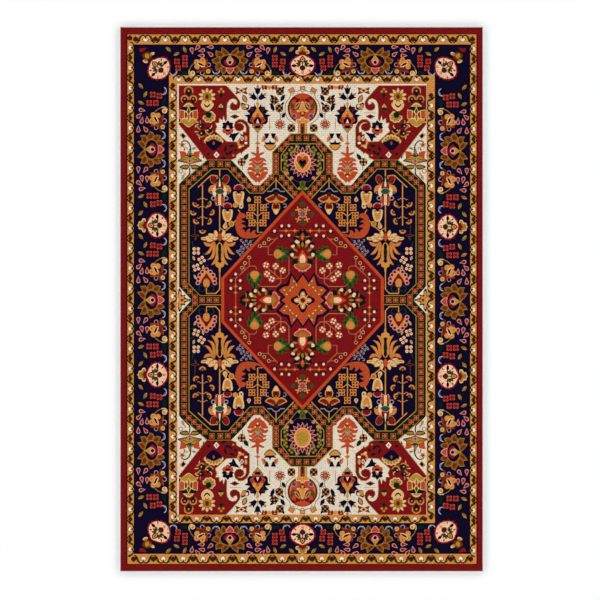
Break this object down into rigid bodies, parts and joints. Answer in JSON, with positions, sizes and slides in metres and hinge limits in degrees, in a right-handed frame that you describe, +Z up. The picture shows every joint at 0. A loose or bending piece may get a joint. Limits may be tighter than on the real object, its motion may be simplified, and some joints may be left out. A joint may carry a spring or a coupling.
{
  "type": "area rug",
  "caption": "Flat rectangular area rug: a thin cushioned floor sheet with a traditional Persian-style printed face and a plain grip underside.",
  "frame": {"origin": "middle of the underside, on the floor", "axes": "+Y along the rug's length, +X across its width, +Z up out of the patterned face"},
  "size_m": [1.2, 1.8, 0.004],
  "materials": {
    "grip_backing": "matt light grey foam with a fine embossed grip texture",
    "glass_fleece": "off-white non-woven glass fleece",
    "foam_core": "matt white closed-cell foam, seen at the cut edge",
    "printed_film": "printed in dark red, navy, cream, ochre and green with a woven look",
    "wear_layer": "clear matt film embossed like a flat weave"
  },
  "bodies": {
    "root": {"grip_backing": "grip_backing", "glass_fleece": "glass_fleece", "foam_core": "foam_core", "printed_film": "printed_film", "wear_layer": "wear_layer"}
  },
  "joints": []
}
